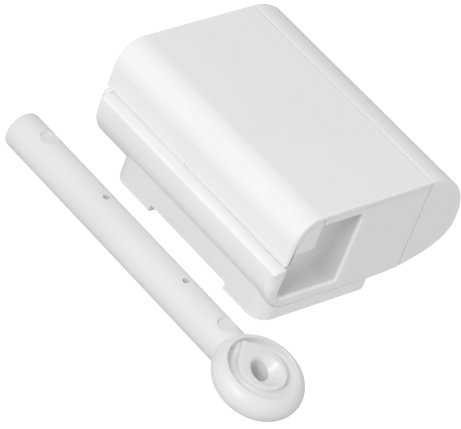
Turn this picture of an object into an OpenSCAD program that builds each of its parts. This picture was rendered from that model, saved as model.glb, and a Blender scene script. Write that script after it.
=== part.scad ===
// Toothpaste dispenser: a tube is drawn into the slot of the housing and wound up
// on a loose winding key. The housing slides onto a low bracket.
// +X runs along the housing to its open end, +Y from the slot to the nose, +Z up.
// The origin is the middle of the bracket's underside.

/* [Bracket] */
// Length of the bracket along the housing
base_l = 67; // [56:1:80]
// Depth of the bracket from front to back
base_w = 42.4; // [36:0.2:50]
// Height of the bracket without its rails
base_h = 3.9; // [3.5:0.1:5]
// Corner radius at the front of the bracket
base_front_r = 5.5; // [2:0.5:8]
// Corner radius at the back of the bracket
base_back_r = 2.5; // [1:0.5:6]
// Length of the foot at the open end
foot_near_l = 15.6; // [12:0.1:20]
// Length of the foot at the far end
foot_far_l = 17.2; // [12:0.1:20]
// Height of the finger recesses between the feet
notch_h = 2.5; // [1.5:0.1:2.8]
// Depth of each finger recess, from the front and from the back
notch_deep = 13; // [8:0.5:16]
// Thickness of each adhesive pad
pad_t = 0.8; // [0.5:0.1:1.2]
// Rim left around each adhesive pad
pad_rim = 1.8; // [1:0.1:3]

/* [Rails] */
// Width of a rail's head
rail_head_w = 8; // [6:0.2:9]
// Width of a rail's stem
rail_stem_w = 4; // [3:0.2:5]
// Thickness of a rail's head
rail_head_t = 0.8; // [0.6:0.1:1]
// Thickness of the ledge that a rail's head hooks over
ledge_t = 1; // [0.8:0.1:1.2]
// Distance from the front of the bracket to the first rail's middle
rail_front_y = 10; // [8:0.5:12]
// Distance between the two rails' middles
rail_pitch = 21.5; // [20:0.5:23]
// Play between the rails and their grooves
rail_gap = 0.25; // [0.2:0.05:0.35]

/* [Housing] */
// Length of the housing body
body_l = 79.5; // [66:0.1:96]
// Height of the housing from its underside to the top of the cover
housing_h = 33; // [31:0.1:40]
// Depth from the front of the lower jaw to the seam of the nose
seam_y = 53.5; // [48:0.1:65]
// How far the lower jaw stands in front of the bracket
jaw_proud = 0.8; // [0:0.1:1.5]
// Height of the lower jaw's lip above the underside
jaw_h = 15.4; // [13:0.1:16]
// Thickness of the lower jaw
jaw_t = 4.4; // [3:0.1:5]
// Radius of the lower front edge
jaw_r = 9.7; // [6:0.1:11]
// Thickness of the floor of the tube chamber
floor_t = 3.5; // [3.2:0.1:4.5]
// Width of the tube chamber
chamber_w = 23.9; // [20:0.1:30]
// Radius of the chamber's lower front corner
chamber_r = 2.5; // [1:0.5:4]
// Thickness of the wall between the chamber and the closed box
divider_t = 2; // [1.5:0.1:3]
// Thickness of the roof under the cover
roof_t = 1.9; // [1:0.1:2.4]
// Thickness of the end walls and the box walls
wall_t = 1.6; // [1.2:0.1:2.4]

/* [Cover] */
// How far the cover and the nose reach past the body's far end
cover_over = 2.1; // [1.6:0.1:3]
// Thickness of the cover's top
cover_t = 1.7; // [1.3:0.1:2.5]
// Thickness of the upper lip
lip_t = 1.9; // [1.5:0.1:2.5]
// How far the upper lip stands behind the lower jaw's front
lip_set = 2.7; // [1:0.1:3.5]
// Height of the slot between the lips
slot_gap = 1.2; // [1.2:0.1:3]
// How far the far wall's edge stands behind the lower jaw's front, in the slot
web_set = 1.4; // [0.5:0.1:2]
// How far the far end's plate stands out from the body
end_proud = 1.2; // [0.6:0.1:1.5]
// Outer radius from the upper lip to the top
cover_r = 8.5; // [6:0.5:9]

/* [Upper jaw] */
// Depth of the pressing bar behind the upper lip
bar_w = 7.9; // [5:0.1:9]
// Height of the bar's underside above the lip's lower edge
bar_rise = 3.9; // [2:0.1:5]
// How far the bar's end lies inside the housing's open end
bar_inset = 0.2; // [0.2:0.1:2]
// Chamfer along the bar's lower back edge
bar_chamfer = 0.8; // [0.3:0.1:1.5]

/* [Nose] */
// Length of the nose past the seam
nose_l = 17.9; // [14:0.1:22]
// Height of the nose's foremost point above the underside
nose_tip_h = 14.1; // [11:0.1:17]
// Length of the curve under the nose
belly_l = 33; // [26:0.5:36]
// Fullness of that curve, where 2 is an oval and more is squarer
belly_power = 2.35; // [2:0.05:2.8]
// Gap of the seam between the nose and the body
seam_gap = 0.3; // [0.2:0.1:0.5]
// Depth of the seam's groove
seam_depth = 0.8; // [0.4:0.1:1]
// Wall thickness of the nose
nose_wall = 1.6; // [1.2:0.1:2.4]

/* [Snap hooks] */
// Length of a hook along the housing
hook_l = 9; // [6:0.5:12]
// Thickness of a hook
hook_t = 1.4; // [1.2:0.1:1.8]
// How far a hook's tooth catches behind its window
hook_catch = 0.8; // [0.5:0.1:1]
// Play around a hook in its window
hook_gap = 0.2; // [0.1:0.05:0.3]
// Distance from the open end to the first hook's middle
hook_first_x = 18; // [14:1:22]
// Distance between the two hooks of a row
hook_pitch = 43; // [36:1:48]

/* [Winding key] */
// Diameter of the key's rod
rod_d = 11.8; // [10:0.1:14.4]
// Length from the rod's tip to the middle of the ring
key_l = 109; // [105:0.2:131]
// Outer diameter of the ring
ring_d = 27.3; // [24:0.1:28]
// Thickness of the ring, which is fully rounded at its outside
ring_t = 8.8; // [7:0.1:10]
// Slope of the ring, whose free end reaches down to the table
ring_pitch = 11; // [0:0.5:14]
// How far the ring's flat middle lies below its rounded outside
hub_set = 0.4; // [0.2:0.1:0.8]
// Diameter of the hole through the ring
ring_bore_d = 8; // [6:0.5:10]
// Outer diameter of the boss around the hole
boss_d = 15.2; // [13:0.2:15.6]
// Width of the groove around the boss
groove_w = 2; // [1.2:0.1:2.2]
// Depth of the groove
groove_depth = 2.2; // [1.5:0.1:3]
// Reach of the boss's point towards the rod
point_reach = 9.2; // [8.2:0.1:9.5]
// Rounding of the rod's tip
tip_r = 1; // [0.5:0.1:2]
// Distance from the tip to the start of the slit
slit_start = 12; // [10:0.5:15]
// Length of the slit that takes the tube's end
slit_l = 78; // [65:0.5:80]
// Width of the slit
slit_w = 1.6; // [1.2:0.1:2.2]
// Depth of the slit from the rod's side
slit_depth = 8.5; // [7:0.1:9.5]
// Diameter of the small holes over the slit
peg_d = 2; // [1.5:0.1:2.5]
// Distance from the tip to the first small hole
peg_first = 37.8; // [30:0.1:45]
// Distance between the small holes
peg_pitch = 36.4; // [25:0.1:40]
// Diameter of the round notches on the rod
mark_d = 5.4; // [3:0.1:6]
// Depth of the notches
mark_depth = 0.8; // [0.3:0.1:1.2]
// Distance from the tip to the first notch
mark_first = 11.2; // [8:0.1:14]
// Distance from the middle of the ring to the second notch
mark_back = 16.4; // [16.4:0.1:20]
// Play of the rod in the far wall's hole
rod_play = 0.3; // [0.1:0.05:0.5]

/* [Resting place of the key] */
// Distance from the lower jaw's front to the key's axis
key_away = 19.3; // [16:0.1:30]
// Distance from the housing's open end to the middle of the ring
key_forward = 21.5; // [15:0.1:40]

/* [Hidden] */

white = [0.93, 0.93, 0.93];
foam = [0.80, 0.80, 0.78];
skin = 0.01;
past = 1;
lip_play = 0.2;
round_fn = 96;
curve_steps = 24;

near_x = base_l / 2;
far_x = near_x - body_l;
plate_x = far_x - end_proud;
cover_far_x = far_x - cover_over;
cover_l = body_l + cover_over;
front_y = -base_w / 2 - jaw_proud;
body_z = base_h + rail_gap;

roof_top = housing_h - cover_t;
roof_under = roof_top - roof_t;
chamber_back = jaw_t + chamber_w;
box_front = chamber_back + divider_t;
box_back = seam_y - wall_t;
lip_back = lip_set + lip_t;
lip_z = jaw_h + slot_gap;
bar_back = lip_back + bar_w;
bar_z = lip_z + bar_rise;
nose_y = seam_y + nose_l;
belly_y = nose_y - belly_l;

groove_head_z = ledge_t;
groove_depth_z = ledge_t + 2 * rail_gap + rail_head_t;
rail_x0 = -base_l / 2 + 3;
rail_x1 = near_x - 4;
groove_end = 0.6;
cradle_end = 0.5;
rail_ys = [rail_front_y, rail_front_y + rail_pitch];
hook_xs = [near_x - hook_first_x, near_x - hook_first_x - hook_pitch];
nose_hook_xs = [hook_xs[0] - hook_l - 2, hook_xs[1] + hook_l + 2];
tooth_l = 1.2;
root_y = seam_y + 4;

bearing_y = bar_back + rod_d / 2 + rod_play + 1;
bearing_z = floor_t + rod_d / 2 + 6.2;

rod_r = rod_d / 2;
ring_r = ring_d / 2;
tube_r = ring_t / 2;
core_r = ring_r - tube_r;
ring_z = tube_r + core_r * sin(ring_pitch);
boss_r = boss_d / 2;
hub_h = ring_t - 2 * hub_set;
neck_l = 2.4;
neck_set = 0.4;
key_y = front_y - key_away;
ring_x = near_x + key_forward;
tip_x = ring_x - key_l;
marks = [mark_first, key_l - mark_back];

// Points of an arc about c, from angle a0 to a1
function arc(c, r, a0, a1, steps) =
    [for (i = [0 : steps]) let (a = a0 + (a1 - a0) * i / steps) c + r * [cos(a), sin(a)]];

// Points of a flattened quarter oval about c, from angle a0 to a1
function oval(c, rx, ry, power, a0, a1, steps) =
    [for (i = [0 : steps]) let (a = a0 + (a1 - a0) * i / steps, s = sin(a), k = cos(a))
        c + [rx * sign(k) * pow(abs(k), 2 / power), ry * sign(s) * pow(abs(s), 2 / power)]];

// Extrudes a section, drawn with depth and height, along the housing
module along(x0, x1) {
    translate([x0, front_y, body_z]) rotate([90, 0, 90]) linear_extrude(x1 - x0) children();
}

// Lower outline of the whole housing, up to the level of the cover
module lower_outline() {
    polygon(concat(
        [[0, roof_top]],
        arc([jaw_r, jaw_r], jaw_r, 180, 270, 12),
        oval([belly_y, nose_tip_h], belly_l, nose_tip_h, belly_power, 270, 360, curve_steps),
        [[nose_y, roof_top]]));
}

// Height of the belly's curve at depth y
function belly_z(y) =
    nose_tip_h * (1 - pow(1 - pow((y - belly_y) / belly_l, belly_power), 1 / belly_power));

// Section of the nose behind depth y, drawn in by the given amount
module nose_section(inset, y) {
    intersection() {
        polygon(concat(
            oval([belly_y, nose_tip_h], belly_l - inset, nose_tip_h - inset, belly_power, 270, 360, curve_steps),
            oval([seam_y, nose_tip_h], nose_l - inset, housing_h - nose_tip_h - inset, 2, 0, 90, curve_steps),
            [[belly_y, housing_h - inset]]));
        translate([y, -past]) square([nose_l + past, housing_h + 2 * past]);
    }
}

// Section of the tube chamber, rounded in its lower front corner
module chamber_section() {
    polygon(concat(
        arc([jaw_t + chamber_r, floor_t + chamber_r], chamber_r, 180, 270, 8),
        [[chamber_back, floor_t], [chamber_back, roof_under], [jaw_t, roof_under]]));
}

// T-shaped groove for one rail, open at the underside
module groove_section(y) {
    stem = rail_stem_w + 2 * rail_gap;
    head = rail_head_w + 2 * rail_gap;
    translate([y - stem / 2, -past]) square([stem, past + groove_depth_z]);
    translate([y - head / 2, groove_head_z]) square([head, groove_depth_z - groove_head_z]);
}

// A plate with two front corners of one radius and two back corners of another
module bracket_plan() {
    half_l = base_l / 2;
    half_w = base_w / 2;
    polygon(concat(
        arc([half_l - base_front_r, base_front_r - half_w], base_front_r, -90, 0, 12),
        arc([half_l - base_back_r, half_w - base_back_r], base_back_r, 0, 90, 8),
        arc([base_back_r - half_l, half_w - base_back_r], base_back_r, 90, 180, 8),
        arc([base_front_r - half_l, base_front_r - half_w], base_front_r, 180, 270, 12)));
}

// Front of the bracket, which rises to the rounded edge under the lower jaw
module front_cradle() {
    intersection() {
        linear_extrude(body_z + jaw_r) bracket_plan();
        translate([-base_l / 2, 0, 0]) rotate([90, 0, 90]) linear_extrude(base_l) difference() {
            translate([-base_w / 2, base_h - skin]) square([jaw_r - jaw_proud - cradle_end, jaw_r]);
            translate([front_y + jaw_r, body_z + jaw_r]) circle(jaw_r + rail_gap, $fn = round_fn);
        }
    }
}

// Recess or pad under a foot; side is 1 for the near foot and -1 for the far one
module pad_block(side, rim, height) {
    foot_l = side > 0 ? foot_near_l : foot_far_l;
    pad_w = base_w - 2 * rim;
    translate([side * (base_l / 2 - foot_l / 2), 0, height / 2])
        cube([foot_l - 2 * rim, pad_w, height], center = true);
}

module rail(y) {
    head_z = body_z + ledge_t + rail_gap;
    translate([rail_x0, y - rail_stem_w / 2, base_h - skin])
        cube([rail_x1 - rail_x0, rail_stem_w, head_z - base_h + 2 * skin]);
    translate([rail_x0, y - rail_head_w / 2, head_z])
        cube([rail_x1 - rail_x0, rail_head_w, rail_head_t]);
}

// Snap hook that points along +Z from its root at the origin and catches towards +Y
module hook(reach, root) {
    translate([-hook_l / 2, 0, -root]) cube([hook_l, hook_t, reach + tooth_l + root]);
    translate([-hook_l / 2, hook_t - skin, reach]) rotate([90, 0, 90]) linear_extrude(hook_l)
        polygon([[0, 0], [hook_catch + skin, 0], [0, tooth_l]]);
}

// Window for a hook, cut through a wall of thickness t, with room for the hook to bend
module hook_window(t) {
    translate([-hook_l / 2 - hook_gap, -hook_catch - hook_gap, -past])
        cube([hook_l + 2 * hook_gap, hook_catch + hook_t + 2 * hook_gap, t + 2 * past]);
}

// Places the cover's hooks, which point down through the roof of the box
module at_cover_hooks() {
    for (x = hook_xs) {
        translate([x, front_y + box_front + 5, body_z + roof_top]) rotate([180, 0, 0]) children();
        translate([x, front_y + box_back - 5, body_z + roof_top]) rotate([180, 0, 180]) children();
    }
}

// Places the nose's hooks, which point back through the rear wall of the box
module at_nose_hooks() {
    high = roof_under - hook_catch - 0.4 - hook_t;
    low = floor_t + hook_catch + 0.4 + hook_t;
    for (x = nose_hook_xs) {
        translate([x, front_y + seam_y, body_z + high]) rotate([90, 0, 0]) children();
        translate([x, front_y + seam_y, body_z + low]) mirror([0, 0, 1]) rotate([90, 0, 0]) children();
    }
}

module wall_bracket() {
    color(white) difference() {
        union() {
            linear_extrude(base_h) bracket_plan();
            front_cradle();
            for (y = rail_ys) rail(y - base_w / 2);
        }
        for (y = [-base_w / 2 - past, base_w / 2 - notch_deep])
            translate([-base_l / 2 + foot_far_l, y, -past])
                cube([base_l - foot_far_l - foot_near_l, notch_deep + past, past + notch_h]);
        for (side = [-1, 1]) translate([0, 0, -past]) pad_block(side, pad_rim, pad_t + past);
    }
}

module adhesive_pad(side) {
    color(foam) pad_block(side, pad_rim + 0.1, pad_t);
}

module housing_body() {
    color(white) difference() {
        union() {
            along(far_x, near_x) difference() {
                intersection() {
                    lower_outline();
                    square([seam_y, roof_top]);
                }
                chamber_section();
                translate([-past, jaw_h]) square([past + bar_back + 0.4, housing_h]);
                translate([box_front, floor_t]) square([box_back - box_front, roof_under - floor_t]);
            }
            // closed end of the chamber, which also bridges the slot
            along(plate_x, plate_x + wall_t) plate_section();
            // both ends of the closed box
            along(near_x - wall_t, near_x) box_end();
            along(far_x, far_x + wall_t) box_end();
        }
        for (y = rail_ys)
            along(plate_x - past, rail_x1 + groove_end) groove_section(y + jaw_proud);
        translate([plate_x - past, front_y + bearing_y, body_z + bearing_z]) rotate([0, 90, 0])
            cylinder(h = wall_t + 2 * past, d = rod_d + 2 * rod_play, $fn = round_fn);
        at_cover_hooks() hook_window(roof_t);
        at_nose_hooks() hook_window(wall_t);
    }
}

// Section of the far end's plate, which stays inside the body and the cover
module plate_section() {
    intersection() {
        translate([web_set, web_set]) lower_outline();
        square([seam_y, roof_top - lip_play]);
        union() {
            square([bar_back, lip_z - lip_play]);
            turned_plate(cover_r - lip_t - lip_play, lip_back + lip_play, roof_top - lip_play);
        }
    }
}

// Section that closes one end of the box
module box_end() {
    translate([box_front - skin, floor_t - skin])
        square([box_back - box_front + 2 * skin, roof_under - floor_t + 2 * skin]);
}

// Section of a plate that turns down over a rounded edge
module turned_plate(r, left, top) {
    difference() {
        translate([left, 0]) square([seam_y - left, top]);
        difference() {
            translate([left, top - r]) square(r);
            translate([left + r, top - r]) circle(r, $fn = round_fn);
        }
    }
}

module top_cover() {
    color(white) union() {
        along(cover_far_x, near_x) difference() {
            turned_plate(cover_r, lip_set, housing_h);
            turned_plate(cover_r - lip_t, lip_back, roof_top);
            translate([-past, -past]) square([seam_y + 2 * past, lip_z + past]);
            translate([lip_back, -past]) square([seam_y + past, roof_top - cover_r + past]);
        }
        at_cover_hooks() hook(roof_t, skin);
    }
}

module upper_jaw() {
    color(white) along(plate_x + wall_t + 0.3, near_x - bar_inset) difference() {
        turned_plate(cover_r - lip_t, lip_back, roof_top);
        translate([bar_back, -past]) square([seam_y, housing_h]);
        translate([0, -past]) square([bar_back + past, bar_z + past]);
        translate([bar_back, bar_z]) rotate(45) square(bar_chamfer * sqrt(2), center = true);
    }
}

module nose_cap() {
    rim_l = seam_gap + skin;
    color(white) union() {
        difference() {
            union() {
                along(cover_far_x, near_x) nose_section(0, seam_y + seam_gap);
                // rim that seats on the rear wall and leaves the seam's groove
                along(cover_far_x + seam_depth, near_x - seam_depth) intersection() {
                    nose_section(seam_depth, seam_y);
                    translate([seam_y, 0]) square([rim_l, housing_h]);
                }
            }
            along(cover_far_x + nose_wall, near_x - nose_wall) nose_section(nose_wall, seam_y - past);
        }
        // hooks with their roots in the upper and the lower wall
        at_nose_hooks() hook(wall_t, root_y - seam_y);
        for (x = nose_hook_xs) along(x - hook_l / 2, x + hook_l / 2) {
            high = roof_under - hook_catch - 0.4 - hook_t;
            low = floor_t + hook_catch + 0.4;
            translate([root_y - 2.4, high]) square([2.4, housing_h - nose_wall + 0.3 - high]);
            translate([root_y - 2.4, belly_z(root_y) + 0.4]) square([2.4, low + hook_t - belly_z(root_y) - 0.4]);
        }
    }
}

// Ring around the origin, with its hole along Z
module ring() {
    difference() {
        union() {
            rotate_extrude($fn = round_fn) translate([core_r, 0]) circle(tube_r, $fn = round_fn);
            cylinder(h = hub_h, r = core_r, center = true, $fn = round_fn);
        }
        // groove around the boss, which has a point towards the rod
        translate([0, 0, tube_r - groove_depth]) difference() {
            cylinder(h = groove_depth + past, r = boss_r + groove_w, $fn = round_fn);
            translate([0, 0, -past]) cylinder(h = groove_depth + 3 * past, r = boss_r, $fn = round_fn);
            translate([0, 0, -past]) linear_extrude(groove_depth + 3 * past)
                polygon([[0, boss_r - skin], [-point_reach, 0], [0, skin - boss_r]]);
        }
    }
}

// Rod along X from the tip to the ring, tapered at both ends
module rod() {
    rod_end = ring_x - core_r - neck_l;
    translate([tip_x, 0, 0]) rotate([0, 90, 0]) union() {
        cylinder(h = tip_r + skin, r1 = rod_r - tip_r, r2 = rod_r, $fn = round_fn);
        translate([0, 0, tip_r]) cylinder(h = rod_end - tip_x - tip_r, r = rod_r, $fn = round_fn);
        translate([0, 0, rod_end - tip_x - skin])
            cylinder(h = neck_l - neck_set, r1 = rod_r, r2 = tube_r, $fn = round_fn);
    }
}

module winding_key() {
    color(white) difference() {
        union() {
            translate([ring_x, key_y, ring_z]) rotate([0, ring_pitch, 0]) ring();
            translate([0, key_y, rod_r]) rod();
        }
        for (m = marks) translate([tip_x + m, key_y, rod_d - mark_depth])
            cylinder(h = mark_depth + past, d = mark_d, $fn = round_fn);
        translate([ring_x, key_y, ring_z]) rotate([0, ring_pitch, 0])
            cylinder(h = ring_t + 2 * past, d = ring_bore_d, center = true, $fn = round_fn);
        translate([tip_x + slit_start, key_y + rod_r - slit_depth, rod_r - slit_w / 2])
            cube([slit_l, slit_depth + past, slit_w]);
        for (p = [peg_first, peg_first + peg_pitch]) translate([tip_x + p, key_y, rod_r])
            cylinder(h = rod_r + past, d = peg_d, $fn = 32);
    }
}

wall_bracket();
adhesive_pad(1);  // adhesive_pad_near
adhesive_pad(-1);  // adhesive_pad_far
housing_body();
top_cover();
upper_jaw();
nose_cap();
winding_key();
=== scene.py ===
# Looks of the toothpaste dispenser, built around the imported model.
# Sizes are in millimetres and are brought to metres when a piece is finished.
# A section of the housing is drawn with depth and height from its lower front corner.
import bmesh
import bpy
import math
from mathutils import Matrix, Vector


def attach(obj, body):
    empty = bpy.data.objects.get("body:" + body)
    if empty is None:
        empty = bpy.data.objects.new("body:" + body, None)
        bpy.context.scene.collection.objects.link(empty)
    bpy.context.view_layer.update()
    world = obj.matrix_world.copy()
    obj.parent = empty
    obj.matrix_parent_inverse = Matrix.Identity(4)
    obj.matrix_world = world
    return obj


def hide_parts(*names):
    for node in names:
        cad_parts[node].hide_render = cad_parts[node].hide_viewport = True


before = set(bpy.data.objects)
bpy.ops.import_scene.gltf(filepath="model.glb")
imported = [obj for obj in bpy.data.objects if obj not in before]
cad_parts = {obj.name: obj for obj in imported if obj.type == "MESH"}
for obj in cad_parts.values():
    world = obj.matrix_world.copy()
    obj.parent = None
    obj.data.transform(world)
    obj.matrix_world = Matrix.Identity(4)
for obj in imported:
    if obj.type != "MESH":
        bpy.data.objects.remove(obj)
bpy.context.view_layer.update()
scene = bpy.context.scene
mm = 0.001
tiny = 1e-4      # slack when picking vertices by their place
grainRelief = 0.05
frontY = -22.0   # front of the lower jaw
bodyZ = 4.15     # underside of the housing
nearX = 33.5     # open end of the housing
bodyFarX = -46.0
coverFarX = -48.1
print("frame loaded")

# Camera, floor and light

cameraSizes = {"spot": (585.54, -795.98, 753.71), "turn": (50.758, -17.211, 50.145),
               "lens": 341.8, "sensor": 36.0}
lightSizes = {"keyFrom": (170, -760, 655), "keyWidth": 320, "keyPower": 3.9,
              "fillFrom": (950, -150, 300), "fillWidth": 600, "fillPower": 0.35,
              "aim": (0, 0, 15), "skyShade": 0.585}
floorSizes = {"halfWidth": 6, "drop": 0.05, "shade": 0.60, "glow": 0.10, "seenGlow": 1.1}


def makeCamera(sizes):
    data = bpy.data.cameras.new("camera")
    data.lens = sizes["lens"]
    data.sensor_width = sizes["sensor"]
    data.dof.use_dof = False
    camera = bpy.data.objects.new("camera", data)
    camera.location = Vector(sizes["spot"]) * mm
    camera.rotation_euler = [math.radians(a) for a in sizes["turn"]]
    scene.collection.objects.link(camera)
    scene.camera = camera


def makeSoftBox(name, spot, width, power, aim):
    data = bpy.data.lights.new(name, "AREA")
    data.shape = "SQUARE"
    data.size = width * mm
    data.energy = power
    light = bpy.data.objects.new(name, data)
    light.location = Vector(spot) * mm
    light.rotation_euler = (Vector(aim) - Vector(spot)).to_track_quat("-Z", "Y").to_euler()
    scene.collection.objects.link(light)


def makeLight(sizes):
    makeSoftBox("keyBox", sizes["keyFrom"], sizes["keyWidth"], sizes["keyPower"], sizes["aim"])
    makeSoftBox("fillBox", sizes["fillFrom"], sizes["fillWidth"], sizes["fillPower"], sizes["aim"])
    world = bpy.data.worlds.new("studio")
    world.use_nodes = True
    sky = world.node_tree.nodes["Background"]
    sky.inputs["Color"].default_value = (sizes["skyShade"],) * 3 + (1,)
    sky.inputs["Strength"].default_value = 1.0
    scene.world = world
    scene.view_settings.view_transform = "Standard"


def makeFloor(sizes):
    # seen straight on, the table is as white as the paper sweep behind it
    bm = bmesh.new()
    bmesh.ops.create_grid(bm, x_segments=1, y_segments=1, size=sizes["halfWidth"])
    mesh = bpy.data.meshes.new("floor")
    bm.to_mesh(mesh)
    bm.free()
    mesh.transform(Matrix.Translation((0, 0, -sizes["drop"] * mm)))
    floor = bpy.data.objects.new("floor", mesh)
    scene.collection.objects.link(floor)
    paint = bpy.data.materials.new("paleFloor")
    paint.use_nodes = True
    nodes = paint.node_tree.nodes
    links = paint.node_tree.links
    shader = nodes["Principled BSDF"]
    shader.inputs["Base Color"].default_value = (sizes["shade"],) * 3 + (1,)
    shader.inputs["Roughness"].default_value = 0.9
    shader.inputs["Specular IOR Level"].default_value = 0.1
    shader.inputs["Emission Color"].default_value = (1, 1, 1, 1)
    shader.inputs["Emission Strength"].default_value = sizes["glow"]
    glow = nodes.new("ShaderNodeEmission")
    glow.inputs["Strength"].default_value = sizes["seenGlow"]
    path = nodes.new("ShaderNodeLightPath")
    blend = nodes.new("ShaderNodeMixShader")
    links.new(path.outputs["Is Camera Ray"], blend.inputs["Fac"])
    links.new(shader.outputs["BSDF"], blend.inputs[1])
    links.new(glow.outputs["Emission"], blend.inputs[2])
    links.new(blend.outputs["Shader"], nodes["Material Output"].inputs["Surface"])
    floor.data.materials.append(paint)


makeCamera(cameraSizes)
makeLight(lightSizes)
makeFloor(floorSizes)
print("camera, light and floor made")

# Finishes

shellFinish = {"light": 0.975, "deep": 0.94, "gloss": (0.38, 0.48), "shine": 0.30,
               "grain": 1500, "bump": 0.10, "depth": 0.35, "reach": 2.0}
bracketFinish = {"light": 0.985, "deep": 0.95, "gloss": (0.40, 0.50), "shine": 0.35,
                 "grain": 1300, "bump": 0.12, "depth": 0.15, "reach": 1.0}
keyFinish = {"light": 0.85, "deep": 0.81, "gloss": (0.30, 0.40), "shine": 0.5,
             "grain": 1700, "bump": 0.10, "depth": 0.15, "reach": 1.0}
padFinish = {"light": 0.80, "deep": 0.62, "gloss": (0.85, 0.95), "cell": 2200, "bump": 0.5}


def groupInputs(group, numbers):
    for name, start in numbers:
        given = group.interface.new_socket(name, in_out="INPUT", socket_type="NodeSocketFloat")
        given.default_value = start
    group.interface.new_socket("Colour", in_out="OUTPUT", socket_type="NodeSocketColor")
    group.interface.new_socket("Gloss", in_out="OUTPUT", socket_type="NodeSocketFloat")
    group.interface.new_socket("Height", in_out="OUTPUT", socket_type="NodeSocketFloat")


def spread(group, name, source, low, high):
    # spreads a pattern from 0 to 1 between two inputs of the group
    nodes = group.nodes
    fit = nodes.new("ShaderNodeMapRange")
    fit.label = name
    fit.inputs["From Min"].default_value = 0.3
    fit.inputs["From Max"].default_value = 0.7
    group.links.new(source, fit.inputs["Value"])
    group.links.new(low, fit.inputs["To Min"])
    group.links.new(high, fit.inputs["To Max"])
    return fit.outputs["Result"]


def makeMouldedGrain():
    # moulded plastic: clouds and flow marks in the shade, a fine grain in the surface
    group = bpy.data.node_groups.new("mouldedGrain", "ShaderNodeTree")
    groupInputs(group, [("Deep", 0.88), ("Light", 0.92), ("Gloss low", 0.35), ("Gloss high", 0.45),
                        ("Grain", 1500)])
    nodes = group.nodes
    links = group.links
    given = nodes.new("NodeGroupInput").outputs
    place = nodes.new("ShaderNodeTexCoord").outputs["Object"]
    clouds = nodes.new("ShaderNodeTexNoise")
    clouds.inputs["Scale"].default_value = 38
    clouds.inputs["Detail"].default_value = 3
    links.new(place, clouds.inputs["Vector"])
    along = nodes.new("ShaderNodeMapping")
    along.inputs["Scale"].default_value = (25, 260, 260)
    links.new(place, along.inputs["Vector"])
    flow = nodes.new("ShaderNodeTexNoise")
    flow.inputs["Scale"].default_value = 1
    flow.inputs["Detail"].default_value = 2
    links.new(along.outputs["Vector"], flow.inputs["Vector"])
    both = nodes.new("ShaderNodeMath")
    both.operation = "MULTIPLY_ADD"
    both.inputs[1].default_value = 0.7
    links.new(clouds.outputs["Fac"], both.inputs[0])
    part = nodes.new("ShaderNodeMath")
    part.operation = "MULTIPLY"
    part.inputs[1].default_value = 0.3
    links.new(flow.outputs["Fac"], part.inputs[0])
    links.new(part.outputs["Value"], both.inputs[2])
    shade = spread(group, "shade", both.outputs["Value"], given["Deep"], given["Light"])
    grain = nodes.new("ShaderNodeTexNoise")
    grain.inputs["Detail"].default_value = 2
    links.new(place, grain.inputs["Vector"])
    links.new(given["Grain"], grain.inputs["Scale"])
    gloss = spread(group, "gloss", flow.outputs["Fac"], given["Gloss low"], given["Gloss high"])
    tint = nodes.new("ShaderNodeCombineColor")
    for channel in ("Red", "Green", "Blue"):
        links.new(shade, tint.inputs[channel])
    out = nodes.new("NodeGroupOutput")
    links.new(tint.outputs["Color"], out.inputs["Colour"])
    links.new(gloss, out.inputs["Gloss"])
    links.new(grain.outputs["Fac"], out.inputs["Height"])
    return group


def makeFoamCells():
    # closed-cell foam: small round cells with a darker rim
    group = bpy.data.node_groups.new("foamCells", "ShaderNodeTree")
    groupInputs(group, [("Deep", 0.62), ("Light", 0.8), ("Gloss low", 0.85), ("Gloss high", 0.95),
                        ("Cell", 2200)])
    nodes = group.nodes
    links = group.links
    given = nodes.new("NodeGroupInput").outputs
    place = nodes.new("ShaderNodeTexCoord").outputs["Object"]
    cells = nodes.new("ShaderNodeTexVoronoi")
    links.new(place, cells.inputs["Vector"])
    links.new(given["Cell"], cells.inputs["Scale"])
    shade = spread(group, "shade", cells.outputs["Distance"], given["Light"], given["Deep"])
    gloss = spread(group, "gloss", cells.outputs["Distance"], given["Gloss low"], given["Gloss high"])
    tint = nodes.new("ShaderNodeCombineColor")
    for channel in ("Red", "Green", "Blue"):
        links.new(shade, tint.inputs[channel])
    out = nodes.new("NodeGroupOutput")
    links.new(tint.outputs["Color"], out.inputs["Colour"])
    links.new(gloss, out.inputs["Gloss"])
    links.new(cells.outputs["Distance"], out.inputs["Height"])
    return group


def makeFinish(name, group, sizes):
    paint = bpy.data.materials.new(name)
    paint.use_nodes = True
    nodes = paint.node_tree.nodes
    links = paint.node_tree.links
    shader = nodes["Principled BSDF"]
    effect = nodes.new("ShaderNodeGroup")
    effect.node_tree = group
    effect.inputs["Deep"].default_value = sizes["deep"]
    effect.inputs["Light"].default_value = sizes["light"]
    effect.inputs["Gloss low"].default_value = sizes["gloss"][0]
    effect.inputs["Gloss high"].default_value = sizes["gloss"][1]
    bump = nodes.new("ShaderNodeBump")
    bump.inputs["Strength"].default_value = sizes["bump"]
    bump.inputs["Distance"].default_value = grainRelief * mm
    links.new(effect.outputs["Height"], bump.inputs["Height"])
    links.new(bump.outputs["Normal"], shader.inputs["Normal"])
    links.new(effect.outputs["Colour"], shader.inputs["Base Color"])
    links.new(effect.outputs["Gloss"], shader.inputs["Roughness"])
    return paint, shader, effect


def makePlastic(name, group, sizes):
    paint, shader, effect = makeFinish(name, group, sizes)
    effect.inputs["Grain"].default_value = sizes["grain"]
    shader.inputs["Specular IOR Level"].default_value = sizes["shine"]
    shader.inputs["Subsurface Weight"].default_value = sizes["depth"]
    shader.inputs["Subsurface Radius"].default_value = (1, 1, 1)
    shader.inputs["Subsurface Scale"].default_value = sizes["reach"] * mm
    return paint


def makeFoam(name, group, sizes):
    paint, shader, effect = makeFinish(name, group, sizes)
    effect.inputs["Cell"].default_value = sizes["cell"]
    return paint


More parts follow.
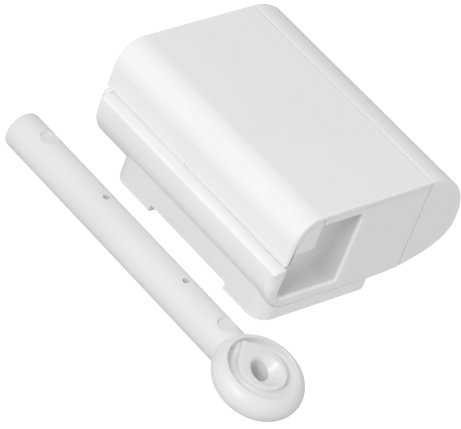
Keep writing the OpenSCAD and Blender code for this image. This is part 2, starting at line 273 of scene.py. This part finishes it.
# Painted shade and painted light, a stand-in set by grey level and not measured: inside the tube chamber
# the colour is multiplied by shade to paint the cavity's shade, and the plastic glows with strength glow to
# paint light that would come through the thin walls. Each range goes from outside to inside.
chamberShadeAndGlowSizes = {"shade": 0.77, "glow": 0.24,
                "walls": [("X", -46.6, -46.0), ("Y", -15.0, -14.0), ("Y", 7.0, 6.4),
                          ("Z", 7.3, 7.6), ("Z", 34.4, 33.8), ("X", 33.0, 32.0)],
                "paintedGlowFade": ("X", 31.5, 12.0)}


def makeChamberShadeAndGlowMask(sizes):
    # mask of the chamber's inside for the painted shade, and the painted glow, which also fades out towards
    # the open end
    group = bpy.data.node_groups.new("chamberShadeAndGlowMask", "ShaderNodeTree")
    group.interface.new_socket("Inside", in_out="OUTPUT", socket_type="NodeSocketFloat")
    group.interface.new_socket("Glow", in_out="OUTPUT", socket_type="NodeSocketColor")
    nodes = group.nodes
    links = group.links
    split = nodes.new("ShaderNodeSeparateXYZ")
    links.new(nodes.new("ShaderNodeTexCoord").outputs["Object"], split.inputs["Vector"])
    share = None
    for axis, start, end in sizes["walls"] + [sizes["paintedGlowFade"]]:
        inside = share   # ends as the mask of all walls, before the fade
        fit = nodes.new("ShaderNodeMapRange")
        fit.interpolation_type = "SMOOTHSTEP"
        fit.inputs["From Min"].default_value = start * mm
        fit.inputs["From Max"].default_value = end * mm
        links.new(split.outputs[axis], fit.inputs["Value"])
        if share is None:
            share = fit.outputs["Result"]
            continue
        both = nodes.new("ShaderNodeMath")
        both.operation = "MULTIPLY"
        links.new(share, both.inputs[0])
        links.new(fit.outputs["Result"], both.inputs[1])
        share = both.outputs["Value"]
    tint = nodes.new("ShaderNodeCombineColor")
    for channel in ("Red", "Green", "Blue"):
        links.new(share, tint.inputs[channel])
    out = nodes.new("NodeGroupOutput")
    links.new(inside, out.inputs["Inside"])
    links.new(tint.outputs["Color"], out.inputs["Glow"])
    return group


def paintChamberShadeAndGlow(paint, group, sizes):
    # paints shade and light into the shell plastic inside the tube chamber: a darker colour and a faint
    # glow
    nodes = paint.node_tree.nodes
    links = paint.node_tree.links
    shader = nodes["Principled BSDF"]
    plain = shader.inputs["Base Color"].links[0].from_socket
    effect = nodes.new("ShaderNodeGroup")
    effect.node_tree = group
    # painted light: the plastic inside the chamber glows
    links.new(effect.outputs["Glow"], shader.inputs["Emission Color"])
    shader.inputs["Emission Strength"].default_value = sizes["glow"]
    # painted shade: the colour inside the chamber is multiplied darker
    darker = nodes.new("ShaderNodeMix")
    darker.data_type = "RGBA"
    darker.blend_type = "MULTIPLY"
    links.new(effect.outputs["Inside"], darker.inputs["Factor"])
    links.new(plain, darker.inputs[6])   # 6, 7 and output 2 are the colour sockets
    darker.inputs[7].default_value = (sizes["shade"],) * 3 + (1,)
    links.new(darker.outputs[2], shader.inputs["Base Color"])


mouldedGrain = makeMouldedGrain()
shellPlastic = makePlastic("shellPlastic", mouldedGrain, shellFinish)
bracketPlastic = makePlastic("bracketPlastic", mouldedGrain, bracketFinish)
keyPlastic = makePlastic("keyPlastic", mouldedGrain, keyFinish)
# the shell plastic gets painted shade and a painted glow inside the tube chamber
paintChamberShadeAndGlow(shellPlastic, makeChamberShadeAndGlowMask(chamberShadeAndGlowSizes), chamberShadeAndGlowSizes)
padFoam = makeFoam("padFoam", makeFoamCells(), padFinish)
print("finishes made")

# Shaping


def roundedFace(corners):
    # a face on the plane x = 0 from (depth, height, radius) corners
    bm = bmesh.new()
    spots = [bm.verts.new((0, y, z)) for y, z, r in corners]
    bm.faces.new(spots)
    for radius in sorted({r for y, z, r in corners if r > 0}):
        chosen = [v for v, c in zip(spots, corners) if c[2] == radius]
        steps = max(4, round(6 + 1.6 * radius))
        bmesh.ops.bevel(bm, geom=chosen, offset=radius, segments=steps, profile=0.5,
                        affect="VERTICES", clamp_overlap=False, material=-1)
    return bm


def drawAlong(bm, x0, x1, rounding=None):
    # extrudes the face along the housing
    # rounding gives the edge radius for an end, a depth and a height
    bmesh.ops.translate(bm, verts=bm.verts, vec=(x0, 0, 0))
    grown = bmesh.ops.extrude_face_region(bm, geom=list(bm.faces))["geom"]
    moved = [g for g in grown if isinstance(g, bmesh.types.BMVert)]
    bmesh.ops.translate(bm, verts=moved, vec=(x1 - x0, 0, 0))
    bmesh.ops.recalc_face_normals(bm, faces=bm.faces)
    if rounding:
        start = bm.verts.layers.float_vector.new("start")
        draw = bm.verts.layers.float_vector.new("draw")
        for x, side in ((x0, -1), (x1, 1)):
            cap = [f for f in bm.faces if all(abs(v.co.x - x) < tiny for v in f.verts)][0]
            roundEnd(bm, cap, side, start, draw, rounding)
    return bm


def roundEnd(bm, cap, side, start, draw, rounding, steps=5):
    # draws the end face in over a quarter round, whose radius may change along the outline
    loops = list(cap.loops)
    for i, loop in enumerate(loops):
        spot = loop.vert.co
        before = cap.normal.cross(spot - loops[i - 1].vert.co).normalized()
        after = cap.normal.cross(loops[(i + 1) % len(loops)].vert.co - spot).normalized()
        radius = rounding(side > 0, spot.y, spot.z)
        inward = (before + after) / (1 + before.dot(after)) * radius
        loop.vert[draw] = inward + Vector((side * radius, 0, 0))
        loop.vert[start] = spot - Vector((side * radius, 0, 0))
    for v in cap.verts:
        v.co = v[start]
    for step in range(1, steps + 1):
        turn = math.radians(90 * step / steps)
        grown = bmesh.ops.extrude_face_region(bm, geom=[cap])["geom"]
        bmesh.ops.delete(bm, geom=[cap], context="FACES_ONLY")
        cap = [g for g in grown if isinstance(g, bmesh.types.BMFace)][0]
        for v in cap.verts:
            far = v[draw]
            drawn = 1 - math.cos(turn)
            v.co = v[start] + Vector((far.x * math.sin(turn), far.y * drawn, far.z * drawn))


def toObject(name, bm, housing=True):
    # the bmesh in millimetres becomes an object in metres, in the model's frame
    if housing:
        bmesh.ops.translate(bm, verts=bm.verts, vec=(0, frontY, bodyZ))
    bmesh.ops.scale(bm, verts=bm.verts, vec=(mm, mm, mm))
    mesh = bpy.data.meshes.new(name)
    bm.to_mesh(mesh)
    bm.free()
    thing = bpy.data.objects.new(name, mesh)
    scene.collection.objects.link(thing)
    return thing


def bake(thing):
    bpy.context.view_layer.update()
    graph = bpy.context.evaluated_depsgraph_get()
    shaped = bpy.data.meshes.new_from_object(thing.evaluated_get(graph))
    thing.modifiers.clear()
    thing.data = shaped


def between(value, start, end, low, high):
    # goes smoothly from low to high while the value goes from start to end
    share = min(1, max(0, (value - start) / (end - start)))
    return low + (high - low) * share * share * (3 - 2 * share)


def combine(base, tool, how):
    step = base.modifiers.new("join", "BOOLEAN")
    step.operation = how
    step.solver = "EXACT"
    step.object = tool
    bake(base)
    bpy.data.objects.remove(tool)


def boxObject(name, lows, highs):
    bm = bmesh.new()
    bmesh.ops.create_cube(bm, size=1)
    bmesh.ops.translate(bm, verts=bm.verts, vec=(0.5, 0.5, 0.5))
    bmesh.ops.scale(bm, verts=bm.verts, vec=[h - l for l, h in zip(lows, highs)])
    bmesh.ops.translate(bm, verts=bm.verts, vec=lows)
    return toObject(name, bm, False)


def finishPiece(thing, body, node, paint, smooth=30):
    thing.data.materials.clear()
    thing.data.materials.append(paint)
    thing.data.shade_smooth()
    thing.data.set_sharp_from_angle(angle=math.radians(smooth))
    flat = thing.modifiers.new("flatFaces", "WEIGHTED_NORMAL")
    flat.keep_sharp = True
    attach(thing, body)
    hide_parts(node)
    print(thing.name, len(thing.data.polygons), "faces")


def bellyCurve(sizes, startY, steps):
    # full curve under the housing and the nose, from depth startY to the foremost point
    middle = sizes["tipY"] - sizes["reach"]
    power = sizes["fullness"]
    first = math.acos(min(1, ((startY - middle) / sizes["reach"]) ** (power / 2)))
    points = []
    for i in range(steps + 1):
        a = first * (1 - i / steps)
        points.append((middle + sizes["reach"] * math.cos(a) ** (2 / power),
                       sizes["tipHeight"] * (1 - math.sin(a) ** (2 / power))))
    return points


curveSizes = {"tipY": 71.4, "tipHeight": 14.1, "reach": 33.0, "fullness": 2.35}

# Top cover with the upper lip

coverSizes = {"lipY": 2.7, "lipZ": 16.6, "topZ": 33.0, "roofZ": 31.3, "seamY": 53.5,
              "lipThickness": 1.9, "bend": 8.5, "lipRound": 0.6, "innerRound": 0.3,
              "fullRimZ": 19.5, "seamRound": 0.25, "rimRound": 1.8, "topRimRound": 0.6,
              "innerRim": 0.1, "farRim": 0.5, "lipRim": 0.5}


def makeCover(s):
    inner = s["lipY"] + s["lipThickness"]
    bm = roundedFace([(s["lipY"], s["lipZ"], s["lipRound"]), (s["lipY"], s["fullRimZ"], 0),
                      (s["lipY"], s["topZ"], s["bend"]),
                      (s["seamY"], s["topZ"], s["seamRound"]), (s["seamY"], s["roofZ"], 0),
                      (inner, s["roofZ"], s["bend"] - s["lipThickness"]),
                      (inner, s["lipZ"], s["innerRound"])])

    def rounding(near, y, z):
        outside = y < inner - 0.5 or z > s["roofZ"] + 0.6 or math.hypot(
            y - s["lipY"] - s["bend"], z - s["topZ"] + s["bend"]) > s["bend"] - 0.5
        if not outside or y > s["seamY"] - 0.5:
            return s["innerRim"]
        if not near:
            return s["farRim"]
        low = between(z, s["lipZ"], s["fullRimZ"], s["lipRim"], s["rimRound"])
        return between(z, s["topZ"] - s["bend"], s["topZ"], low, s["topRimRound"])

    cover = toObject("coverShell", drawAlong(bm, coverFarX, nearX, rounding))
    finishPiece(cover, "housing", "top_cover", shellPlastic)


makeCover(coverSizes)

# Housing body with the tube chamber and the lower jaw

bodySizes = {"jawTop": 15.4, "jawSlope": 0.5, "jawFlat": 1.2, "fullRimZ": 12.2, "jawThickness": 4.4,
             "jawBend": 9.7, "floor": 3.5, "wallY": 28.3,
             "roofTop": 31.3, "roofUnder": 29.4, "roofFrontY": 12.9, "seamY": 53.5,
             "lipRound": 0.7, "lipInner": 0.25, "chamberRound": 2.5, "creaseRound": 0.6,
             "cornerRound": 2.0, "seamRound": 0.25, "innerRim": 0.3, "smallRim": 0.15,
             "lipRim": 0.45, "lipRimRise": 2.5, "jawRim": 2.8, "cornerRim": 1.0, "bottomRim": 0.3,
             "farUpperRim": 0.5, "farRim": 1.2, "cornerTurnZ": (11, 4), "bottomTurnY": (3, 12),
             "farTurnZ": (10, 4), "seamTurnY": 42}
farPlateSizes = {"farX": -47.2, "thickness": 1.6, "inset": 1.4, "top": 16.4, "coverIn": 4.8,
                 "coverTop": 31.1, "coverBend": 6.4, "backY": 53.3, "rim": 0.25}
holeSizes = {"y": 19.7, "z": 15.6, "radius": 6.2, "depth": 6}
grooveSizes = {"y": (10.8, 32.3), "stem": 4.5, "head": 8.5, "ledge": 1.0, "top": 2.3, "nearX": 30.1}


def makeBody(s):
    belly = bellyCurve(curveSizes, curveSizes["tipY"] - curveSizes["reach"] + 0.01, 60)
    under = [(y, z, 0) for y, z in belly if y < s["seamY"] - 0.2]
    edgeZ = [z for y, z in belly if y < s["seamY"]][-1]
    corners = [(0, s["jawTop"] - s["jawSlope"], s["lipRound"]), (0, s["fullRimZ"], 0),
               (0, 0, s["jawBend"])] + under
    corners += [(s["seamY"], edgeZ, s["seamRound"]), (s["seamY"], s["roofTop"], 0),
                (s["roofFrontY"], s["roofTop"], 0), (s["roofFrontY"], s["roofUnder"], 0),
                (s["wallY"], s["roofUnder"], s["cornerRound"]),
                (s["wallY"], s["floor"], s["creaseRound"]),
                (s["jawThickness"], s["floor"], s["chamberRound"]),
                (s["jawThickness"], s["jawTop"], s["lipInner"]),
                (s["jawThickness"] - s["jawFlat"], s["jawTop"], 0)]

    def rounding(near, y, z):
        small = s["smallRim"]
        lipEnd = s["fullRimZ"] + s["lipRimRise"]
        if y > s["seamY"] - 0.6 or z > s["roofUnder"] - 0.1:
            return small
        if y > s["jawThickness"] - 0.3 and z > s["floor"] - 0.1:
            return small if z > s["jawTop"] - 0.5 or not near else s["innerRim"]
        if z > lipEnd or y > 0.2 and z > s["fullRimZ"]:
            return between(y, 0.1, s["jawThickness"] - s["jawFlat"], s["lipRim"], small)
        if near:
            edge = between(z, lipEnd, s["fullRimZ"], s["lipRim"], s["jawRim"])
            edge = between(z, *s["cornerTurnZ"], edge, s["cornerRim"])
            edge = between(y, *s["bottomTurnY"], edge, s["bottomRim"])
        else:
            edge = between(z, *s["farTurnZ"], s["farUpperRim"], s["farRim"])
        return between(y, s["seamTurnY"], s["seamY"] - 1, edge, small)

    shell = toObject("bodyShell", drawAlong(roundedFace(corners), bodyFarX, nearX, rounding))
    combine(shell, makeFarPlate(farPlateSizes, s), "UNION")
    combine(shell, makeBearingHole(holeSizes), "DIFFERENCE")
    for y in grooveSizes["y"]:
        combine(shell, makeGroove(grooveSizes, y), "DIFFERENCE")
    finishPiece(shell, "housing", "housing_body", shellPlastic)


def makeFarPlate(s, body):
    # wall that closes the far end and bridges the slot, a little inside the outline
    belly = bellyCurve(curveSizes, curveSizes["tipY"] - curveSizes["reach"] + 0.01, 30)
    inset = s["inset"]
    under = [(y + inset, z + inset, 0) for y, z in belly if y + inset < s["backY"] - 0.3]
    corners = [(inset, s["top"], 0.3), (inset, inset, body["jawBend"])] + under
    corners += [(s["backY"], under[-1][1] + 0.3, 0), (s["backY"], s["coverTop"], 0),
                (s["coverIn"], s["coverTop"], s["coverBend"]), (s["coverIn"], s["top"], 0)]
    bm = drawAlong(roundedFace(corners), s["farX"], s["farX"] + s["thickness"],
                   lambda near, y, z: s["rim"])
    return toObject("farPlate", bm)


def makeBearingHole(s):
    bm = bmesh.new()
    bmesh.ops.create_cone(bm, cap_ends=True, segments=96, radius1=s["radius"], radius2=s["radius"],
                          depth=s["depth"])
    bmesh.ops.rotate(bm, verts=bm.verts, matrix=Matrix.Rotation(math.radians(90), 3, "Y"))
    bmesh.ops.translate(bm, verts=bm.verts, vec=(bodyFarX, s["y"], s["z"]))
    return toObject("bearingHole", bm)


def makeGroove(s, y):
    stem = s["stem"] / 2
    head = s["head"] / 2
    tee = [(y - stem, -2, 0), (y + stem, -2, 0), (y + stem, s["ledge"], 0),
           (y + head, s["ledge"], 0), (y + head, s["top"], 0), (y - head, s["top"], 0),
           (y - head, s["ledge"], 0), (y - stem, s["ledge"], 0)]
    return toObject("groove", drawAlong(roundedFace(tee), bodyFarX - 3, s["nearX"]))


makeBody(bodySizes)

# Pressing bar behind the upper lip

barSizes = {"frontY": 4.6, "backY": 12.5, "under": 20.5, "top": 31.3, "bend": 6.6, "chamfer": 0.8,
            "farX": -45.3, "inset": 0.2, "rim": 0.25}


def makeBar(s):
    bm = roundedFace([(s["frontY"], s["under"], 0.3), (s["frontY"], s["top"], s["bend"]),
                      (s["backY"], s["top"], 0), (s["backY"], s["under"], s["chamfer"])])
    end = nearX - s["inset"]
    bar = toObject("pressBar", drawAlong(bm, s["farX"], end, lambda near, y, z: s["rim"]))
    finishPiece(bar, "housing", "upper_jaw", shellPlastic)


makeBar(barSizes)

# Rounded nose

noseSizes = {"seamY": 53.8, "topZ": 33.0, "reach": 17.9, "startY": 53.5, "rim": 0.6,
             "seamRim": 0.12, "seamRound": 0.3, "seat": 0.5, "endSeat": 1.0, "seatY": 53.52,
             "seatDepth": 0.6}


def makeNose(s):
    lower = bellyCurve(curveSizes, s["seamY"], 36)
    rise = s["topZ"] - curveSizes["tipHeight"]
    upper = []
    for i in range(1, 41):
        a = math.radians(90 * i / 40)
        y = s["startY"] + s["reach"] * math.cos(a)
        if y > s["seamY"] + 0.5:
            upper.append((y, curveSizes["tipHeight"] + rise * math.sin(a)))
    corners = [(y, z, 0) for y, z in lower if y == lower[0][0] or y > s["seamY"] + 0.5]
    corners += [(y, z, 0) for y, z in upper]
    corners[0] = (s["seamY"], lower[0][1], s["seamRound"])
    corners.append((s["seamY"], s["topZ"], s["seamRound"]))
    bm = drawAlong(roundedFace(corners), coverFarX, nearX,
                   lambda near, y, z: between(y, s["seamY"] + 0.3, s["seamY"] + 6, s["seamRim"], s["rim"]))
    nose = toObject("noseShell", bm)
    # rim that closes the seam's groove from inside
    low = lower[0][1] + s["seat"]
    high = s["topZ"] - s["seat"]
    back = s["seamY"] + s["seatDepth"]
    seat = roundedFace([(s["seatY"], low, 0), (back, low, 0), (back, high, 0), (s["seatY"], high, 0)])
    rim = toObject("noseSeat", drawAlong(seat, coverFarX + s["endSeat"], nearX - s["endSeat"]))
    combine(nose, rim, "UNION")
    finishPiece(nose, "housing", "nose_cap", shellPlastic)


makeNose(noseSizes)

# Bracket on its two feet

bracketSizes = {"length": 67.0, "width": 42.4, "frontRound": 5.5, "backRound": 2.5, "cradleTop": 10.5,
                "housingGap": 0.02, "nearFoot": 15.6, "farFoot": 17.2, "recessHeight": 2.5,
                "recessDeep": 13.0, "edgeRound": 0.4, "padRim": 1.8, "padDepth": 0.8}
railSizes = {"y": (-11.2, 10.3), "stem": 4.0, "head": 8.0, "x": (-30.5, 29.5),
             "under": 5.15, "top": 6.2, "root": 3.5, "topRound": 0.2}


def makeBracket(s):
    bm = bmesh.new()
    halfL = s["length"] / 2
    halfW = s["width"] / 2
    plan = [bm.verts.new(p + (0,)) for p in
            [(-halfL, -halfW), (halfL, -halfW), (halfL, halfW), (-halfL, halfW)]]
    bm.faces.new(plan)
    for pair, radius in ((plan[:2], s["frontRound"]), (plan[2:], s["backRound"])):
        bmesh.ops.bevel(bm, geom=pair, offset=radius, segments=14, profile=0.5,
                        affect="VERTICES", clamp_overlap=False, material=-1)
    grown = bmesh.ops.extrude_face_region(bm, geom=list(bm.faces))["geom"]
    bmesh.ops.translate(bm, verts=[g for g in grown if isinstance(g, bmesh.types.BMVert)],
                        vec=(0, 0, s["cradleTop"]))
    bmesh.ops.recalc_face_normals(bm, faces=bm.faces)
    rims = [e for e in bm.edges if all(v.co.z < tiny for v in e.verts)]
    bmesh.ops.bevel(bm, geom=rims, offset=s["edgeRound"], segments=3, profile=0.5,
                    affect="EDGES", clamp_overlap=False, material=-1)
    base = toObject("bracketShell", bm, False)
    # the front rises round the lower edge of the jaw
    gap = s["housingGap"]
    room = roundedFace([(-gap, 30, 0), (-gap, -gap, bodySizes["jawBend"] + gap),
                        (60, -gap, 0), (60, 30, 0)])
    combine(base, toObject("housingRoom", drawAlong(room, -halfL - 5, halfL + 5)), "DIFFERENCE")
    left = -halfL + s["farFoot"]
    right = halfL - s["nearFoot"]
    for y in (-halfW, halfW):
        recess = boxObject("recess", (left, y - s["recessDeep"], -2),
                           (right, y + s["recessDeep"], s["recessHeight"]))
        combine(base, recess, "DIFFERENCE")
    for low, high in ((-halfL, left), (right, halfL)):
        rim = s["padRim"]
        pocket = boxObject("padPocket", (low + rim, rim - halfW, -2),
                           (high - rim, halfW - rim, s["padDepth"]))
        combine(base, pocket, "DIFFERENCE")
    for y in railSizes["y"]:
        combine(base, makeRail(railSizes, y), "UNION")
    finishPiece(base, "bracket", "wall_bracket", bracketPlastic)


def makeRail(s, y):
    stem = s["stem"] / 2
    head = s["head"] / 2
    tee = [(y - stem, s["root"], 0), (y + stem, s["root"], 0), (y + stem, s["under"], 0),
           (y + head, s["under"], 0), (y + head, s["top"], s["topRound"]),
           (y - head, s["top"], s["topRound"]), (y - head, s["under"], 0), (y - stem, s["under"], 0)]
    return toObject("rail", drawAlong(roundedFace(tee), s["x"][0], s["x"][1]), False)


makeBracket(bracketSizes)

# Winding key: ring and rod in one moulding

ringSizes = {"x": 55.0, "y": -41.3, "z": 6.165, "pitch": 11, "core": 9.25, "tube": 4.4, "hub": 4.0,
             "recessX": -0.5, "recess": 10.4, "recessDeep": 1.2, "recessShallow": 2.8,
             "bossX": -0.5, "boss": 7.4, "bossTop": 4.15, "point": 9.9,
             "boreX": -0.9, "bore": 3.0, "mouthX": 0.6, "mouthY": 0.6,
             "mouthLow": (1.6, 2.6), "mouthHigh": (4.6, 5.6)}   # height and radius
rodSizes = {"tipX": -54.0, "z": 5.9, "radius": 5.9, "tipRound": 1.0, "endX": 43.35,
            "neckX": 45.35, "neckRadius": 4.4, "hiddenX": 46.5}
cutSizes = {"slitX": (-42.0, 36.0), "slitHeight": 1.6, "slitDepth": 8.5,
            "holeX": (-16.2, 20.2), "holeRadius": 1.0,
            "markX": (-42.8, 38.6), "markRadius": 2.7, "markDepth": 0.8, "past": 2}
keyMeshSizes = {"voxel": 0.25, "smoothRounds": 5}


def roundBlock(name, radius, low, high, x=0, y=0, top=None):
    # a cylinder, or a cone where the top has its own radius
    bm = bmesh.new()
    bmesh.ops.create_cone(bm, cap_ends=True, segments=96, radius1=radius, radius2=top or radius,
                          depth=high - low)
    bmesh.ops.translate(bm, verts=bm.verts, vec=(x, y, (low + high) / 2))
    return toObject(name, bm, False)


def makeRing(s):
    # round ring with a recess that is deep towards the rod and shallow at the free end
    bm = bmesh.new()
    bmesh.ops.create_circle(bm, cap_ends=False, segments=48, radius=s["tube"])
    bmesh.ops.rotate(bm, verts=bm.verts, matrix=Matrix.Rotation(math.radians(90), 3, "X"))
    bmesh.ops.translate(bm, verts=bm.verts, vec=(s["core"], 0, 0))
    bmesh.ops.spin(bm, geom=list(bm.edges), cent=(0, 0, 0), axis=(0, 0, 1), dvec=(0, 0, 0),
                   angle=math.radians(360), steps=96, use_merge=True, use_duplicate=False)
    bmesh.ops.recalc_face_normals(bm, faces=bm.faces)
    ring = toObject("windingKeyShell", bm, False)
    combine(ring, roundBlock("hub", s["core"], -s["hub"], s["hub"]), "UNION")
    bm = bmesh.new()
    bmesh.ops.create_cone(bm, cap_ends=True, segments=96, radius1=s["recess"], radius2=s["recess"], depth=6)
    bmesh.ops.translate(bm, verts=bm.verts, vec=(s["recessX"], 0, 3))
    for v in bm.verts:
        rise = between(v.co.x, -s["recess"], s["recess"], s["recessDeep"], s["recessShallow"])
        v.co.z += rise if v.co.z < 1 else 3
    combine(ring, toObject("recess", bm, False), "DIFFERENCE")
    bm = bmesh.new()
    bmesh.ops.create_circle(bm, cap_ends=True, segments=120, radius=s["boss"])
    flank = math.acos(s["boss"] / s["point"])
    for v in bm.verts:
        turn = abs(math.atan2(v.co.y, -v.co.x))
        if turn < flank:
            v.co *= 1 / math.cos(flank - turn)
    grown = bmesh.ops.extrude_face_region(bm, geom=list(bm.faces))["geom"]
    bmesh.ops.translate(bm, verts=[g for g in grown if isinstance(g, bmesh.types.BMVert)],
                        vec=(0, 0, s["bossTop"]))
    bmesh.ops.translate(bm, verts=bm.verts, vec=(s["bossX"], 0, 0))
    bmesh.ops.recalc_face_normals(bm, faces=bm.faces)
    combine(ring, toObject("boss", bm, False), "UNION")
    combine(ring, roundBlock("bore", s["bore"], -8, 8, s["boreX"]), "DIFFERENCE")
    low, lowRadius = s["mouthLow"]
    high, highRadius = s["mouthHigh"]
    mouth = roundBlock("mouth", lowRadius, low, high, s["mouthX"], s["mouthY"], highRadius)
    combine(ring, mouth, "DIFFERENCE")
    return ring


def makeRod(s):
    bm = bmesh.new()
    r = s["radius"]
    line = [(s["tipX"], 0), (s["tipX"], r), (s["endX"], r), (s["neckX"], s["neckRadius"]),
            (s["hiddenX"], s["neckRadius"]), (s["hiddenX"], 0)]
    spots = [bm.verts.new((x, 0, z)) for x, z in line]
    bm.faces.new(spots)
    bmesh.ops.bevel(bm, geom=[spots[1]], offset=s["tipRound"], segments=6, profile=0.5,
                    affect="VERTICES", clamp_overlap=False, material=-1)
    bmesh.ops.delete(bm, geom=list(bm.faces), context="FACES_ONLY")
    axis = [e for e in bm.edges if all(abs(v.co.z) < tiny for v in e.verts)]
    bmesh.ops.delete(bm, geom=axis, context="EDGES")
    bmesh.ops.spin(bm, geom=list(bm.edges), cent=(0, 0, 0), axis=(1, 0, 0), dvec=(0, 0, 0),
                   angle=math.radians(360), steps=96, use_merge=True, use_duplicate=False)
    bmesh.ops.remove_doubles(bm, verts=bm.verts, dist=1e-5)
    bmesh.ops.recalc_face_normals(bm, faces=bm.faces)
    return bm


def makeKeyCuts(s, ring, rod):
    # slit from the side, small holes over it and two round notches
    y = ring["y"]
    z = rod["z"]
    r = rod["radius"]
    top = z + r + s["past"]
    cuts = [boxObject("slit", (s["slitX"][0], y + r - s["slitDepth"], z - s["slitHeight"] / 2),
                      (s["slitX"][1], y + r + s["past"], z + s["slitHeight"] / 2))]
    rounds = [(x, s["holeRadius"], z) for x in s["holeX"]]
    rounds += [(x, s["markRadius"], z + r - s["markDepth"]) for x in s["markX"]]
    for x, radius, low in rounds:
        bm = bmesh.new()
        bmesh.ops.create_cone(bm, cap_ends=True, segments=48, radius1=radius, radius2=radius,
                              depth=top - low)
        bmesh.ops.translate(bm, verts=bm.verts, vec=(x, y, (top + low) / 2))
        cuts.append(toObject("roundCut", bm, False))
    return cuts


def makeKey(ring, rod, cuts, mesh):
    key = makeRing(ring)
    bm = makeRod(rod)
    bmesh.ops.translate(bm, verts=bm.verts, vec=(0, ring["y"], rod["z"]))
    bmesh.ops.scale(bm, verts=bm.verts, vec=(mm, mm, mm))
    place = Matrix.Translation(Vector((ring["x"], ring["y"], ring["z"])) * mm)
    key.data.transform(place @ Matrix.Rotation(math.radians(ring["pitch"]), 4, "Y"))
    bm.from_mesh(key.data)
    bm.to_mesh(key.data)
    bm.free()
    cast = key.modifiers.new("oneMoulding", "REMESH")
    cast.mode = "VOXEL"
    cast.voxel_size = mesh["voxel"] * mm
    ease = key.modifiers.new("softEdges", "SMOOTH")
    ease.factor = 0.5
    ease.iterations = mesh["smoothRounds"]
    bake(key)
    for cut in makeKeyCuts(cuts, ring, rod):
        combine(key, cut, "DIFFERENCE")
    finishPiece(key, "key", "winding_key", keyPlastic)


makeKey(ringSizes, rodSizes, cutSizes, keyMeshSizes)

for node in ("adhesive_pad_near", "adhesive_pad_far"):
    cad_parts[node].data.materials.clear()
    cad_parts[node].data.materials.append(padFoam)
print("pads finished")
